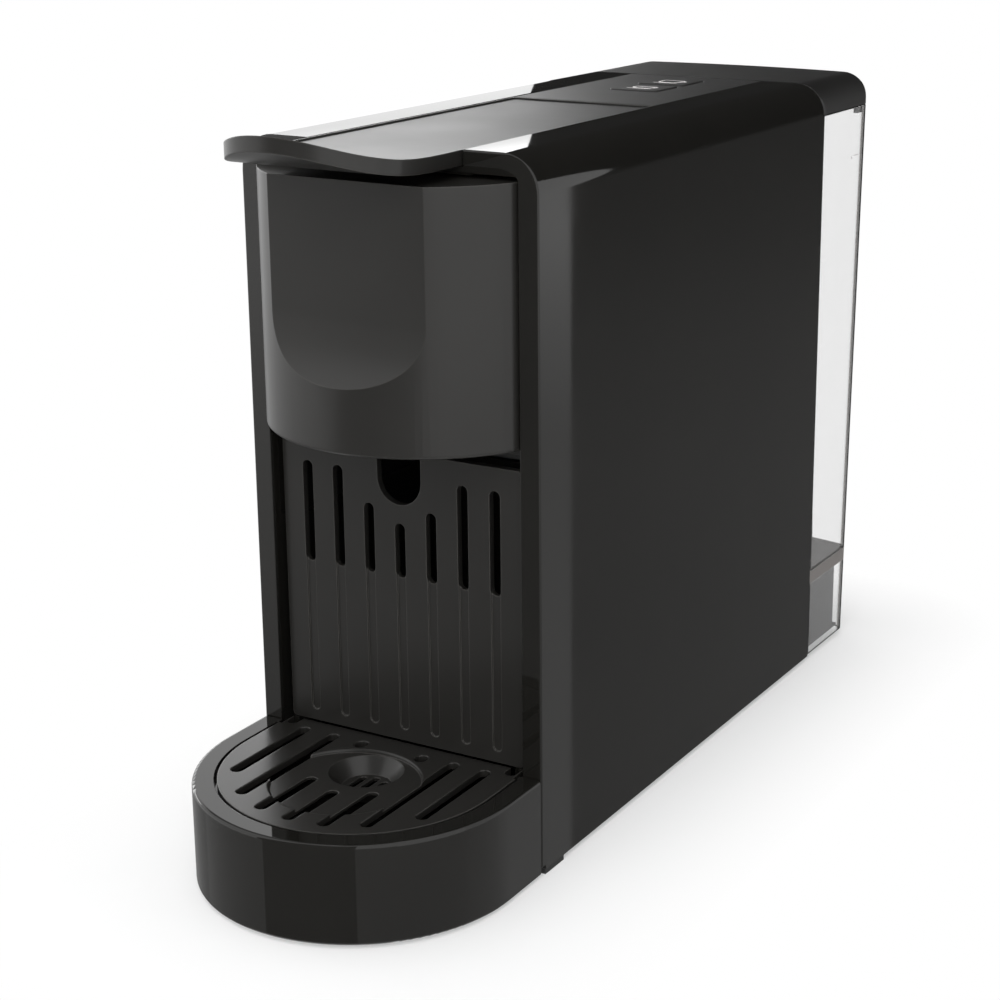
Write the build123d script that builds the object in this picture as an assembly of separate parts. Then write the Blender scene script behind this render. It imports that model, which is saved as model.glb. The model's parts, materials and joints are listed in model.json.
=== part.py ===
from build123d import *
import math
import os

os.makedirs("parts", exist_ok=True)

# ---------------------------------------------------------------- driving sizes, millimetres
# While drawing, y = 0 is the front face of the housing and y grows to the back.
body_w = 110.0          # housing width
body_foot = 2.0         # lower edge of the housing sides
shoulder = 12.0         # rounding between top and sides
wall = 2.8              # housing wall
rim_w = 7.0             # width of the front rim
rim_d = 10.0            # depth of the front rim
fit = 0.3               # clearance between seated pieces
touch = 0.02            # between faces that bear on each other
run_fit = 0.05          # radial clearance of the hinge pin
gap = 0.4               # visible parting gap

tray_z0 = 1.0           # underside of the drip tray
tray_z1 = 34.5          # top of the drip tray
cup_room = 108.5        # from the tray's top to the head
head_h = 83.5           # height of the head
head_bulge = 29.8       # how far the head's curve stands out of the housing
head_t = 2.5
scoop_back = 8.3        # flat of the scoop behind the head's nose
scoop_up = 41.0         # where the scoop starts to run out, above the head's foot
scoop_run = 28.3        # radius of the run-out

bay_depth = 108.0       # room for the capsule bin
pump_room = 109.0       # room for the pump behind it
deck_depth = 5.2        # depth of the channel along the top
floor_t = 2.6           # thickness of the channel's floor

lever_half = 28.5
lever_t = 4.8
lever_reach = 60.0      # nose of the lever ahead of the housing
lever_rise = 9.1        # how far the nose curls up
curl_lead = 5.0         # where the curl starts, ahead of the housing
inlay_t = 1.0
inlay_edge = 0.8
opening = 82.0          # lever's opening angle
pin_r = 2.5
hub_r = 6.0
gear_r = 20.0           # pitch radius of the lever's toothed sectors
gear_step = 15.0        # degrees between teeth
gear_w = 5.6            # thickness of a sector
gear_inset = 7.3        # from the channel's side to a sector's inner side

deck_len = 91.1         # from the lever's rear end to the back of the housing
key_w = 20.0            # push buttons
key_d = 19.5
key_step = 22.5         # from one button to the next
key_back = 21.5         # from the rear button's middle to the back of the housing
key_proud = 0.8
key_travel = 1.2

chamber_y = 42.0        # middle of the capsule mouth
chamber_up = 37.0       # axis of the brewing chamber above the head's foot
chamber_r = 22.0
mouth_w = 41.0          # capsule mouth
mouth_d = 34.0

panel_side = 9.0        # from the housing's side to the bin's front
panel_y = 4.0
panel_t = 2.6
panel_drop = 7.6        # from the head's foot down to the bin's top
slot_pitch = 12.05
slot_w = 4.0
slot_drop = 42.9        # from the bin's top down to the slots' foot
slot_leads = (24.2, 18.9, 7.8, 7.8)     # from the bin's top down to the tops of the slots
groove_lead = 3.9       # from the bin's foot up to the grooves' foot
notch_r = 8.4
notch_drop = 9.4        # centre of the notch below the bin's top
bin_drop = 29.4         # from the bin's top down to the bucket's edge
bin_wall = 2.0

tray_reach = 75.25      # nose of the tray ahead of the housing
tray_ledge = 7.0
tray_wall = 2.5
grid_t = 2.4
grid_gap = 0.5
grid_slot = 4.2
cup_r = 24.5            # round recess for the cup
cup_y = -30.5
drain_r = 12.5          # drain dish, at its rim
drain_foot_r = 8.5
drain_h = 5.2
drain_y = -19.0

tank_depth = 37.6       # tank's side at the skirt
tank_lean = 7.7         # how much deeper it is at the rim
tank_bow = 5.8          # how far the rear wall bows out
tank_wall = 2.0
tank_z0 = 2.6
tank_drop = 11.8        # rim of the tank below the top of the machine
tank_floor = 38.5
tank_floor_t = 5.0
seat_lift = 2.0         # step under the tank's seat
plug_h = 0.8            # the lid's plug ring
tab_l = 5.0             # locating tabs at its corners
tab_h = 3.0
valve_back = 19.0       # valve behind the housing

foot_r = 7.0
foot_side = 15.0        # feet from the housing's side
screw_r = 1.6
screw_head_r = 3.2
screw_side = 8.0        # base screws from the housing's side

board_t = 1.6           # thickness of the circuit boards
power_h = 72.0          # height of the power board
post_in = 4.0           # its posts from its edge
relay_t = 18.9          # relay: depth, length and height
relay_l = 25.0
relay_h = 26.0
fuse_t = 12.9           # fuse and terminals
fuse_l = 12.0
fuse_h = 40.0

# ---------------------------------------------------------------- sizes that follow
half = body_w / 2
body_d = bay_depth + pump_room
head_z0 = tray_z1 + cup_room
head_z1 = head_z0 + head_h
body_h = head_z1 + rim_w + 1.5
head_half = half - rim_w - gap
head_r = (head_half ** 2 + head_bulge ** 2) / (2 * head_bulge)
head_cy = head_r - head_bulge
scoop_y = scoop_back - head_bulge
scoop_z = head_z0 + scoop_up
channel_half = lever_half + gap
channel_floor = body_h - deck_depth
lever_top = body_h - 0.1
lever_tip_y = -lever_reach
curl_from = -curl_lead
lever_end = body_d - deck_len
hinge_z = body_h - 8
tail_r = math.hypot(lever_top - hinge_z, lever_top - hinge_z + 1)
hinge_y = lever_end - (lever_top - hinge_z + 1)
hinge_clear = fit + 0.05
gear_m = 2 * gear_r / (360.0 / gear_step)
gear_in = channel_half - gear_inset
gear_out = gear_in + gear_w
brew_z = head_z0 + chamber_up
panel_half = half - panel_side
panel_z0 = tray_z1 + 0.6
panel_z1 = head_z0 - panel_drop
slot_foot = panel_z1 - slot_drop
tray_r = half
tray_cy = tray_r - tray_reach
tray_back = bay_depth - 4
tray_tail = panel_half - 3
tank_y0 = body_d + gap
tank_z1 = body_h - tank_drop
tank_side_low = tank_y0 + tank_depth
tank_side_top = tank_side_low + tank_lean
valve_y = body_d + valve_back
key_ys = (body_d - key_back - key_step, body_d - key_back)
mid_y = (tank_side_top + tank_bow - tray_reach) / 2     # middle of the machine's depth
far = 2 * (body_d + body_h)                             # longer than anything here


# ---------------------------------------------------------------- helpers
def block(x0, x1, y0, y1, z0, z1):
    return Pos((x0 + x1) / 2, (y0 + y1) / 2, (z0 + z1) / 2) * Box(x1 - x0, y1 - y0, z1 - z0)


def both(solid):
    return solid + mirror(solid, about=Plane.YZ)


def front_plane(y):
    return Plane(origin=(0, y, 0), x_dir=(1, 0, 0), z_dir=(0, -1, 0))


def side_plane(x):
    return Plane(origin=(x, 0, 0), x_dir=(0, 1, 0), z_dir=(1, 0, 0))


def rod_x(r, x0, x1, y, z):
    return Pos((x0 + x1) / 2, y, z) * Rot(0, 90, 0) * Cylinder(r, x1 - x0)


def rod_y(r, y0, y1, x, z):
    return Pos(x, (y0 + y1) / 2, z) * Rot(90, 0, 0) * Cylinder(r, y1 - y0)


def rod_z(r, z0, z1, x, y):
    return Pos(x, y, (z0 + z1) / 2) * Cylinder(r, z1 - z0)


# An inverted U outline, square at its foot and rounded at its shoulders, run along Y.
def arch(half, top, radius, foot, y0, y1):
    outline = Pos(0, (top + foot) / 2) * Rectangle(2 * half, top - foot)
    outline = fillet(outline.vertices().group_by(Axis.Y)[-1], radius)
    return extrude(front_plane(y0) * outline, amount=y1 - y0, dir=(0, 1, 0))


# A D outline: half round in front, straight sides back to y1.
def d_plan(r, y1, z0, z1):
    plan = Pos(0, tray_cy) * Circle(r) + Pos(0, (tray_cy + y1) / 2) * Rectangle(2 * r, y1 - tray_cy)
    plan -= Pos(0, y1 + r) * Rectangle(4 * r, 2 * r)
    return extrude(Pos(0, 0, z0) * plan, amount=z1 - z0)


def long_hole(x, y0, y1, w, z0, z1):
    plan = Pos(x, (y0 + y1) / 2) * SlotOverall(y1 - y0, w, rotation=90)
    return extrude(Pos(0, 0, z0) * plan, amount=z1 - z0)


parts = {}


# ---------------------------------------------------------------- places of the inner pieces
rib_h = 3.0
inlet_r = 4.1
pump_y0 = bay_depth + 20
pump_x = half - 29
pump_r = 17.0
meter_x = -18.0
meter_r = 12.0
heater_x = 26 - half
heater_y = bay_depth + 27
heater_z0 = 60.0
heater_z1 = 130.0
gland_spot = (foot_side - half, body_d - 41)


# ---------------------------------------------------------------- housing
pin_half = channel_half + 6.6
plate_z0 = body_foot + 0.4
plate_z1 = plate_z0 + 3
port_z = plate_z1 + 6.4
meter_y = body_d - 16.5
# The arched shell with its front rim and the channel that holds the lever and the panel.
shell = arch(half, body_h, shoulder, body_foot, 0, body_d)
front_edges = shell.edges().filter_by(Plane.XZ).group_by(Axis.Y)[0]
shell = fillet(front_edges.filter_by(lambda e: e.center().Z > body_foot + 1), 0.8)
shell -= arch(half - wall, body_h - wall, shoulder - wall, -10, rim_d, body_d + 5)
shell -= arch(half - rim_w, body_h - rim_w, 1.5, -10, -5, rim_d + 1)
trough = block(-channel_half - floor_t, channel_half + floor_t, 0.8, body_d, channel_floor - floor_t, body_h - 1)
boss = rod_x(pin_r + 3, channel_half, pin_half + 0.5, hinge_y, hinge_z)
shell += trough + both(boss)
shell -= block(-channel_half, channel_half, -5, body_d + 5, channel_floor, body_h + 5)
shell -= rod_x(tail_r + hinge_clear, -channel_half, channel_half, hinge_y, hinge_z)
shell -= rod_x(pin_r + run_fit, -pin_half - 4, pin_half + 4, hinge_y, hinge_z)
# mouth for the capsule, bevelled like a funnel
mouth = Pos(0, chamber_y, channel_floor - floor_t) * RectangleRounded(mouth_w, mouth_d, 8)
mouth_top = Pos(0, chamber_y, channel_floor) * RectangleRounded(mouth_w + 3, mouth_d + 3, 9)
shell -= loft([mouth, mouth_top])
for y in key_ys:
    shell -= block(-key_w / 2 - 2.2, key_w / 2 + 2.2, y - key_d / 2 - 2.2, y + key_d / 2 + 2.2, body_h - 9, body_h)
# recesses in the foot of the sides, at the front corners
shell -= both(block(half - 5, half + 1, -1, 2.6, -1, body_foot + 1.6))
# bosses that take the base screws
screw_spots = [(x, y) for x in (screw_side - half, half - screw_side) for y in (bay_depth + 8.5, body_d - 24)]
boss_z1 = plate_z1 + 16
for x, y in screw_spots:
    shell += rod_z(screw_r + 2.4, plate_z1 + touch, boss_z1, x, y)
    wall_x = math.copysign(half - wall / 2, x)
    shell += block(min(x, wall_x), max(x, wall_x), y - 1, y + 1, plate_z1 + touch, boss_z1)
    shell -= rod_z(screw_r, plate_z1 - 1, boss_z1 - 3, x, y)
parts["housing"] = shell


# ---------------------------------------------------------------- base frame
bay_half = panel_half + 0.8
bay_back = bay_depth
roof_z0 = head_z0 - 6
roof_z1 = roof_z0 + 2.4
rail_top = tray_z1 + 1.1
seat_y1 = tank_side_low - 4
side_in = half - wall - fit
rear_plan = Pos(0, (rim_d + gap + seat_y1) / 2) * Rectangle(2 * side_in, seat_y1 - rim_d - gap)
base = extrude(Pos(0, 0, plate_z0) * rear_plan, amount=plate_z1 - plate_z0)
seat_plan = Pos(0, (body_d + 0.8 + seat_y1) / 2) * Rectangle(2 * side_in, seat_y1 - body_d - 0.8)
seat_plan = fillet(seat_plan.vertices().group_by(Axis.Y)[-1], 5)
seat = extrude(Pos(0, 0, plate_z0) * seat_plan, amount=tank_floor - tank_floor_t - 0.2 - plate_z0)
seat -= block(4 - side_in, side_in - 4, body_d + 4, seat_y1 - 4, plate_z0 - 1, tank_floor - 9.9)
seat -= block(meter_x - 3.5, meter_x + 3.5, body_d, body_d + 6, plate_z1, plate_z1 + 10)
base += seat
base -= block(-half, half, body_d + gap, seat_y1 + 1, plate_z0 - 1, plate_z0 + seat_lift)
bay_wall = block(bay_half, bay_half + 2.2, rim_d + gap, bay_back, plate_z0, roof_z1)
bay_rail = block(tray_tail + 0.6, bay_half + 1, rim_d + 2, bay_back, rail_top - 4.6, rail_top)
base += both(bay_wall + bay_rail)
base += block(-bay_half, bay_half, bay_back - 2, bay_back, plate_z0, roof_z1)
base += block(-bay_half - 1, bay_half + 1, rim_d + gap, bay_back, roof_z0, roof_z1)
base -= extrude(Pos(0, chamber_y, roof_z0 - 1) * RectangleRounded(mouth_w + 2, mouth_d + 4, 6), amount=5)
toe = block(half - rim_w + 0.6, half - gap, 3, rim_d + 5, 0, body_foot - 0.1)
toe += block(half - rim_w + 0.6, side_in, rim_d + 0.5, rim_d + 5, 0, plate_z1)
base += both(toe)
# stiffening ribs that carry the pump and the heater
for y, x0 in ((pump_y0 + 4, 3 - side_in), (pump_y0 + 16, 3 - side_in), (pump_y0 + 36, pump_x - 20)):
    base += block(x0, side_in - 3, y - 1, y + 1, plate_z1 - 0.1, plate_z1 + rib_h)
base -= rod_z(6.1, -1, plate_z1 + 1, *gland_spot)
base -= rod_z(inlet_r + 0.1, tank_floor - 13, tank_floor, 0, valve_y)
for x, y in screw_spots:
    base -= rod_z(screw_r + 0.2, plate_z0 - 1, plate_z1 + 1, x, y)
    base -= rod_z(screw_head_r + 0.2, plate_z0 - 1, plate_z0 + 1.6, x, y)
parts["base_frame"] = base

back = arch(side_in, body_h - wall - fit, shoulder - wall, plate_z1 + 0.2, body_d - 3.2, body_d - gap)
back -= block(-channel_half - floor_t - fit, channel_half + floor_t + fit, 0, far, channel_floor - floor_t - fit, far)
back -= rod_y(3.4, body_d - 10, body_d + 10, meter_x, port_z)
for k in range(7):
    z = tank_floor + 32 + 20 * k
    back -= block(19 - half, half - 19, body_d - 1.2, body_d + 1, z, z + 4)
parts["back_plate"] = back

foot_spots = [(x, y) for x in (foot_side - half, half - foot_side) for y in (26, body_d - 14)]
feet = [rod_z(foot_r, 0, plate_z0 - touch, x, y) for x, y in foot_spots]
parts["feet"] = Compound(children=[chamfer(f.edges().group_by(Axis.Z)[0], 0.6) for f in feet])


# ---------------------------------------------------------------- screws of the base
def base_screw(x, y):
    screw = rod_z(screw_head_r, plate_z0 + 0.1, plate_z0 + 1.5, x, y)
    screw += rod_z(screw_r - 0.05, plate_z0 + 1, boss_z1 - 5, x, y)
    cross = Rectangle(3.6, 0.9) + Rectangle(0.9, 3.6)
    return screw - extrude(Pos(x, y, plate_z0) * cross, amount=1.1)


parts["base_screws"] = Compound(children=[base_screw(x, y) for x, y in screw_spots])


# ---------------------------------------------------------------- head cover
def head_plan(inset, y1):
    plan = Pos(0, head_cy) * Circle(head_r - inset)
    plan = plan & (Pos(0, -head_r) * Rectangle(2 * (head_half - inset), 2 * head_r))
    return plan + Pos(0, y1 / 2) * Rectangle(2 * (head_half - inset), y1)


def scoop_tool(skin):
    flat = scoop_y + skin
    top_z = scoop_z - skin
    ahead = -2 * head_r
    side = Polyline((ahead, far), (flat, far), (flat, top_z))
    turn = [math.radians(a) for a in (25, 50)]
    run = [(flat - scoop_run * (1 - math.cos(a)), top_z - scoop_run * math.sin(a)) for a in turn]
    arc = ThreePointArc((flat, top_z), run[0], run[1])
    out = Polyline(run[1], (ahead, run[1][1]), (ahead, far))
    return extrude(side_plane(-half) * make_face(side + arc + out), amount=body_w, dir=(1, 0, 0))


head_back = rim_d - gap
spout_r = 8.6
spout_y = -12.0
head = extrude(Pos(0, 0, head_z0) * head_plan(0, head_back), amount=head_z1 - head_z0)
head = fillet(head.edges().group_by(Axis.Z)[0].filter_by(GeomType.CIRCLE), 1.2)
head -= scoop_tool(0)
hollow = extrude(Pos(0, 0, head_z0 + 6.5) * head_plan(head_t, head_back + 1), amount=head_z1 - head_t - head_z0 - 6.5)
head -= hollow - scoop_tool(head_t)
head -= extrude(Pos(0, 0, head_z0 - 1) * head_plan(head_t, head_back + 1), amount=5)
head += block(-head_half + 1, head_half - 1, head_back - 2.2, head_back, roof_z1 + 0.2, head_z0 + 5)
head -= rod_z(spout_r + fit + 0.1, head_z0 - 1, head_z0 + 8, 0, spout_y)
parts["head_cover"] = head


# ---------------------------------------------------------------- lever
def curl(y):
    return lever_top + lever_rise * ((curl_from - y) / (curl_from - lever_tip_y)) ** 3


# Side outline of a layer of the lever: flat over the housing, curling up at the nose.
def lever_layer(depth_top, depth_low, rear_cut):
    steps = [curl_from + (lever_tip_y - 4 - curl_from) * i / 5 for i in range(6)]
    top_pts = [(y, curl(y) - depth_top) for y in steps]
    low_pts = [(y, curl(y) - depth_low) for y in steps]
    top = Spline(top_pts, tangents=[(-1, 0), (top_pts[5][0] - top_pts[4][0], top_pts[5][1] - top_pts[4][1])])
    low = Spline(low_pts, tangents=[(-1, 0), (low_pts[5][0] - low_pts[4][0], low_pts[5][1] - low_pts[4][1])])
    rear = Polyline(top_pts[0], (rear_cut, top_pts[0][1]), (rear_cut, low_pts[0][1]), low_pts[0])
    return make_face(top + Line(top_pts[5], low_pts[5]) + low + rear)


def lever_plan(inset, rear):
    r = lever_half - inset
    cy = lever_tip_y + lever_half
    plan = Pos(0, cy) * Circle(r) + Pos(0, (cy + rear) / 2) * Rectangle(2 * r, rear - cy)
    return extrude(Pos(0, 0, body_h - 40) * plan, amount=80)


def lever_slab(depth_top, depth_low, rear):
    face = side_plane(-half) * lever_layer(depth_top, depth_low, rear)
    return extrude(face, amount=body_w, dir=(1, 0, 0))


strip = lever_slab(0, lever_t, lever_end + 6) & lever_plan(0, lever_end + 6)
ahead_of_hinge = block(-half, half, -2 * lever_reach, hinge_y, body_h - 40, body_h + 40)
strip = strip & (rod_x(tail_r, -half, half, hinge_y, hinge_z) + ahead_of_hinge)
strip -= lever_slab(-5, inlay_t + run_fit, lever_end - 1) & lever_plan(inlay_edge - 0.1, lever_end - 1)
parts["lever_inlay"] = lever_slab(0, inlay_t, lever_end - 1.1) & lever_plan(inlay_edge, lever_end - 1.1)

# One cheek: hub, neck up to the strip and a toothed sector below.
tip_r = gear_r + gear_m
root_r = gear_r - 1.25 * gear_m
sector_from = -97.0
sector_to = -8.0


def tooth(angle):
    a = math.radians(angle)
    shape = Polyline(
        (root_r - 1, -gear_m * 1.22),
        (gear_r, -gear_m * 0.70),
        (tip_r, -gear_m * 0.36),
        (tip_r, gear_m * 0.36),
        (gear_r, gear_m * 0.70),
        (root_r - 1, gear_m * 1.22),
        close=True,
    )
    return Pos(hinge_y, hinge_z) * Rot(0, 0, math.degrees(a)) * make_face(shape)


wedge = Pos(hinge_y, hinge_z) * Circle(root_r)
a0 = math.radians(sector_from)
a1 = math.radians(sector_to)
am = (a0 + a1) / 2
fan = Polyline(
    (0, 0),
    (3 * gear_r * math.cos(a0), 3 * gear_r * math.sin(a0)),
    (3 * gear_r * math.cos(am), 3 * gear_r * math.sin(am)),
    (3 * gear_r * math.cos(a1), 3 * gear_r * math.sin(a1)),
    close=True,
)
wedge = wedge & (Pos(hinge_y, hinge_z) * make_face(fan))
cheek = wedge + Pos(hinge_y, hinge_z) * Circle(hub_r)
for k in range(6):
    cheek += tooth(-90 + gear_step * k)
neck = Pos(hinge_y - 1, hinge_z + 2) * Rectangle(16, 4.5)
cheek += neck & (Pos(hinge_y, hinge_z) * Circle(tail_r - 0.4))
cheek -= Pos(hinge_y, hinge_z) * Circle(pin_r + run_fit)
cheek_solid = extrude(side_plane(gear_in) * cheek, amount=gear_w, dir=(1, 0, 0))
lever = strip + both(cheek_solid)
lever += block(-gear_in, gear_in, hinge_y - 9, hinge_y - 7, hinge_z + 1.5, channel_floor + 1)
parts["lever"] = lever
parts["lever_pin"] = rod_x(pin_r, -pin_half, pin_half, hinge_y, hinge_z)


# ---------------------------------------------------------------- control panel and keys
panel_rear = body_d - 0.2
deck = block(-lever_half, lever_half, lever_end - 2, panel_rear, lever_top - 3, lever_top)
skirt_y = lever_end + 6
ribs = block(-lever_half, lever_half, skirt_y, panel_rear, channel_floor + touch, lever_top - 2)
ribs -= block(1.6 - lever_half, lever_half - 1.6, skirt_y + 1.6, panel_rear - 1.6, channel_floor - 1, lever_top - 3)
deck += ribs
deck -= rod_x(tail_r + hinge_clear, -half, half, hinge_y, hinge_z)
deck -= block(-half, half, hinge_y, lever_end + gap, body_h - 40, body_h + 40)
for y in key_ys:
    hole = Pos(0, y, body_h - 20) * RectangleRounded(key_w + 0.6, key_d + 0.6, 2.3)
    deck -= extrude(hole, amount=40)
parts["control_panel"] = deck


board_z = channel_floor - 12.4
switch_z = board_z + 6.5


def key(y):
    cap = extrude(Pos(0, y, lever_top - 3.6) * RectangleRounded(key_w, key_d, 2), amount=3.6 + key_proud)
    cap = chamfer(cap.edges().group_by(Axis.Z)[-1], 0.4)
    flange = extrude(Pos(0, y, lever_top - 4.6) * RectangleRounded(key_w + 2, key_d + 2, 2), amount=1.3)
    stem = rod_z(3, switch_z + key_travel + 0.3, lever_top - 4, 0, y)
    return cap + flange + stem


parts["key_short"] = key(key_ys[0])
parts["key_long"] = key(key_ys[1])

board_y0 = key_ys[0] - 27
board_y1 = key_ys[1] + 16.5
board_top = board_z + board_t
board = block(-26, 26, board_y0, board_y1, board_z, board_top)
for y in key_ys:
    board += block(-3.1, 3.1, y - 3.1, y + 3.1, board_top, switch_z - 1.4)
    board += rod_z(1.7, switch_z - 1.4, switch_z, 0, y)
board += block(-20, -10, board_y0 + 4, board_y0 + 10, board_top, board_top + 4)
for y in (board_y0 + 4, board_y1 - 4):
    board += both(rod_z(2.6, board_top, channel_floor - floor_t - touch, 22, y))
parts["control_board"] = board


# ---------------------------------------------------------------- brewing unit
travel = gear_r * math.radians(opening)
nozzle_y0 = chamber_y + 18
nozzle_y1 = nozzle_y0 + 22
rail_z1 = hinge_z - gear_r - 1.25 * gear_m
pitch = gear_r * math.radians(gear_step)
plate_y0 = chamber_y - 28
rail_z0 = rail_z1 - 6.9
rack_y1 = hinge_y + 36
rack_side = Pos((plate_y0 + rack_y1) / 2, (rail_z0 + rail_z1) / 2) * Rectangle(rack_y1 - plate_y0, rail_z1 - rail_z0)
z_pitch = hinge_z - gear_r
for k in range(-2, 7):
    c = hinge_y + pitch * (k - 0.5)
    profile = Polyline(
        (c - gear_m * 1.15, rail_z1 - 0.5),
        (c - gear_m * 0.68, z_pitch),
        (c - gear_m * 0.30, z_pitch + gear_m * 0.95),
        (c + gear_m * 0.30, z_pitch + gear_m * 0.95),
        (c + gear_m * 0.68, z_pitch),
        (c + gear_m * 1.15, rail_z1 - 0.5),
        close=True,
    )
    rack_side += make_face(profile)
rail = extrude(side_plane(gear_in + 0.1) * rack_side, amount=gear_w - 0.2, dir=(1, 0, 0))
press = Pos(0, brew_z) * Circle(chamber_r - 1)
press += Pos(0, (rail_z0 + rail_z1) / 2 - 4) * Rectangle(2 * gear_out, rail_z1 - rail_z0 + 8)
carriage = extrude(front_plane(plate_y0) * press, amount=8, dir=(0, 1, 0))
carriage += rod_y(chamber_r - 2.5, plate_y0 + 8, plate_y0 + 11, 0, brew_z)
carriage -= rod_y(chamber_r - 5.5, plate_y0 + 6, plate_y0 + 20, 0, brew_z)
for x in (-8, 0, 8):
    for z in (-8, 0, 8):
        carriage -= rod_y(1.2, plate_y0 - 1, plate_y0 + 9, x, brew_z + z)
carriage += both(rail)
parts["brew_carriage"] = carriage

cheek_x = gear_out + 0.9
cheek_z0 = roof_z1 + touch
cheek_z1 = rail_z0 - 5.5
side = block(cheek_x, cheek_x + 2.9, chamber_y - 16, rack_y1 - 1, cheek_z0, rail_z1 + 7.1)
side += block(gear_in + 0.1, cheek_x + 1, chamber_y - 14, rack_y1 - 3, cheek_z1, rail_z0 - fit)
frame = both(side)
frame += block(-cheek_x - 1, cheek_x + 1, nozzle_y1, nozzle_y1 + 3, cheek_z0, cheek_z1)
frame += block(-cheek_x - 1, cheek_x + 1, rack_y1 - 13, rack_y1 - 10, cheek_z0, cheek_z1)
frame += both(block(cheek_x + 2.5, cheek_x + 7.9, nozzle_y0, nozzle_y0 + 30, cheek_z0, cheek_z0 + 2.6))
frame -= rod_y(4, nozzle_y1 - 2, nozzle_y1 + 8, 0, brew_z)
parts["brew_frame"] = frame

nozzle = rod_y(chamber_r, nozzle_y0, nozzle_y1 - touch, 0, brew_z)
nozzle = chamfer(nozzle.edges().group_by(Axis.Y)[0], 2)
nozzle += rod_y(chamber_r - 6, nozzle_y0 - 3, nozzle_y0, 0, brew_z)
for a in (90, 210, 330):
    spike = Pos(9 * math.cos(math.radians(a)), nozzle_y0 - 5.5, brew_z + 9 * math.sin(math.radians(a)))
    nozzle += spike * Rot(90, 0, 0) * Cone(1.6, 0.3, 5.2)
nozzle += rod_y(3.8, nozzle_y1 - 2, nozzle_y1 + 14, 0, brew_z)
parts["injection_head"] = nozzle

spout_back = chamber_y - 20
trough_z = head_z0 + 8.8
spout = block(-12, 12, spout_y - 9, spout_back, trough_z - 2.1, trough_z + 3.6)
trough_cut = Polyline(
    (spout_y - 6.5, trough_z + 9),
    (spout_y - 6.5, trough_z),
    (spout_y + 8, trough_z),
    (spout_back - 2, trough_z + 1.8),
    (spout_back - 2, trough_z + 9),
    close=True,
)
spout -= extrude(side_plane(-10) * make_face(trough_cut), amount=20, dir=(1, 0, 0))
spout += rod_z(spout_r, head_z0 + 1.2, head_z0 + 7, 0, spout_y)
spout -= both(rod_z(3.0, head_z0, trough_z + 1.2, 4, spout_y))
parts["spout"] = spout


# ---------------------------------------------------------------- capsule bin
slot_count = int((panel_half - 8) / slot_pitch)         # slots on each side of the middle one


def panel_sketch():
    face = Pos(0, (panel_z0 + panel_z1) / 2) * RectangleRounded(2 * panel_half, panel_z1 - panel_z0, 1.5)
    face -= Pos(0, panel_z1 - notch_drop) * Circle(notch_r)
    face -= Pos(0, panel_z1 - notch_drop / 2 + 5) * Rectangle(2 * notch_r, notch_drop + 10)
    for k in range(-slot_count, slot_count + 1):
        top = panel_z1 - slot_leads[min(abs(k), 3)]
        face -= Pos(slot_pitch * k, (top + slot_foot) / 2) * SlotOverall(top - slot_foot, slot_w, rotation=90)
    return face


bin_top = panel_z1 - bin_drop
bin_back = bay_back - 8
bin_z0 = rail_top + fit
bin_front = extrude(front_plane(panel_y) * panel_sketch(), amount=panel_t, dir=(0, 1, 0))
groove_foot = panel_z0 + groove_lead
groove_len = slot_foot - groove_foot + 4
for k in range(-slot_count, slot_count + 1):
    groove = Pos(slot_pitch * k, groove_foot + groove_len / 2) * SlotOverall(groove_len, slot_w - 0.6, rotation=90)
    bin_front -= extrude(front_plane(panel_y - 1) * groove, amount=1.6, dir=(0, 1, 0))
box_y0 = panel_y + panel_t - 0.5
bucket = block(-panel_half, panel_half, box_y0, bin_back, bin_z0, bin_top)
bucket = fillet(bucket.edges().filter_by(Axis.Z).group_by(Axis.Y)[-1], 6)
bin_in = panel_half - bin_wall
bucket -= block(-bin_in, bin_in, panel_y + panel_t, bin_back - bin_wall, bin_z0 + bin_wall, bin_top + 1)
bucket -= block(-panel_half - 1, panel_half + 1, box_y0 - 1, panel_y + panel_t, bin_z0 - 1, bin_top + 1)
bin_front += bucket
parts["capsule_bin"] = bin_front


# ---------------------------------------------------------------- drip tray and grid
tray = d_plan(tray_r, -0.5, tray_z0, tray_z1)
tray = fillet(tray.edges().filter_by(GeomType.CIRCLE), 1.2)
neck_half = panel_half + 0.4
tail_z0 = plate_z1 + fit
tray += block(-neck_half, neck_half, -4, 9, tail_z0, tray_z1)
tray += block(-tray_tail, tray_tail, 8, tray_back, tail_z0, tray_z1 - 0.5)
inner = tray_r - tray_wall
tray -= d_plan(inner, -0.5 - tray_wall, tray_z0 + 2.5, tray_z1 - 4.5)
lip = tray_r - tray_ledge
tray -= d_plan(lip - 2.2, -0.5 - tray_wall, tray_z1 - 5, tray_z1 + 1)
tray -= block(-neck_half + 2.4, neck_half - 2.4, -6, 7, tail_z0 + 2, tray_z1 + 1)
tray -= block(-tray_tail + 2, tray_tail - 2, 4, tray_back - 2, tail_z0 + 2, tray_z1 + 1)
grid_z0 = tray_z1 - grid_t
tray -= d_plan(lip, -2.5, grid_z0 - 0.2, tray_z1 + 1)
tray -= block(-neck_half - 1, neck_half + 1, -3, 4.4, grid_z0 - 0.2, tray_z1 + 1)
parts["drip_tray"] = tray

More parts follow.
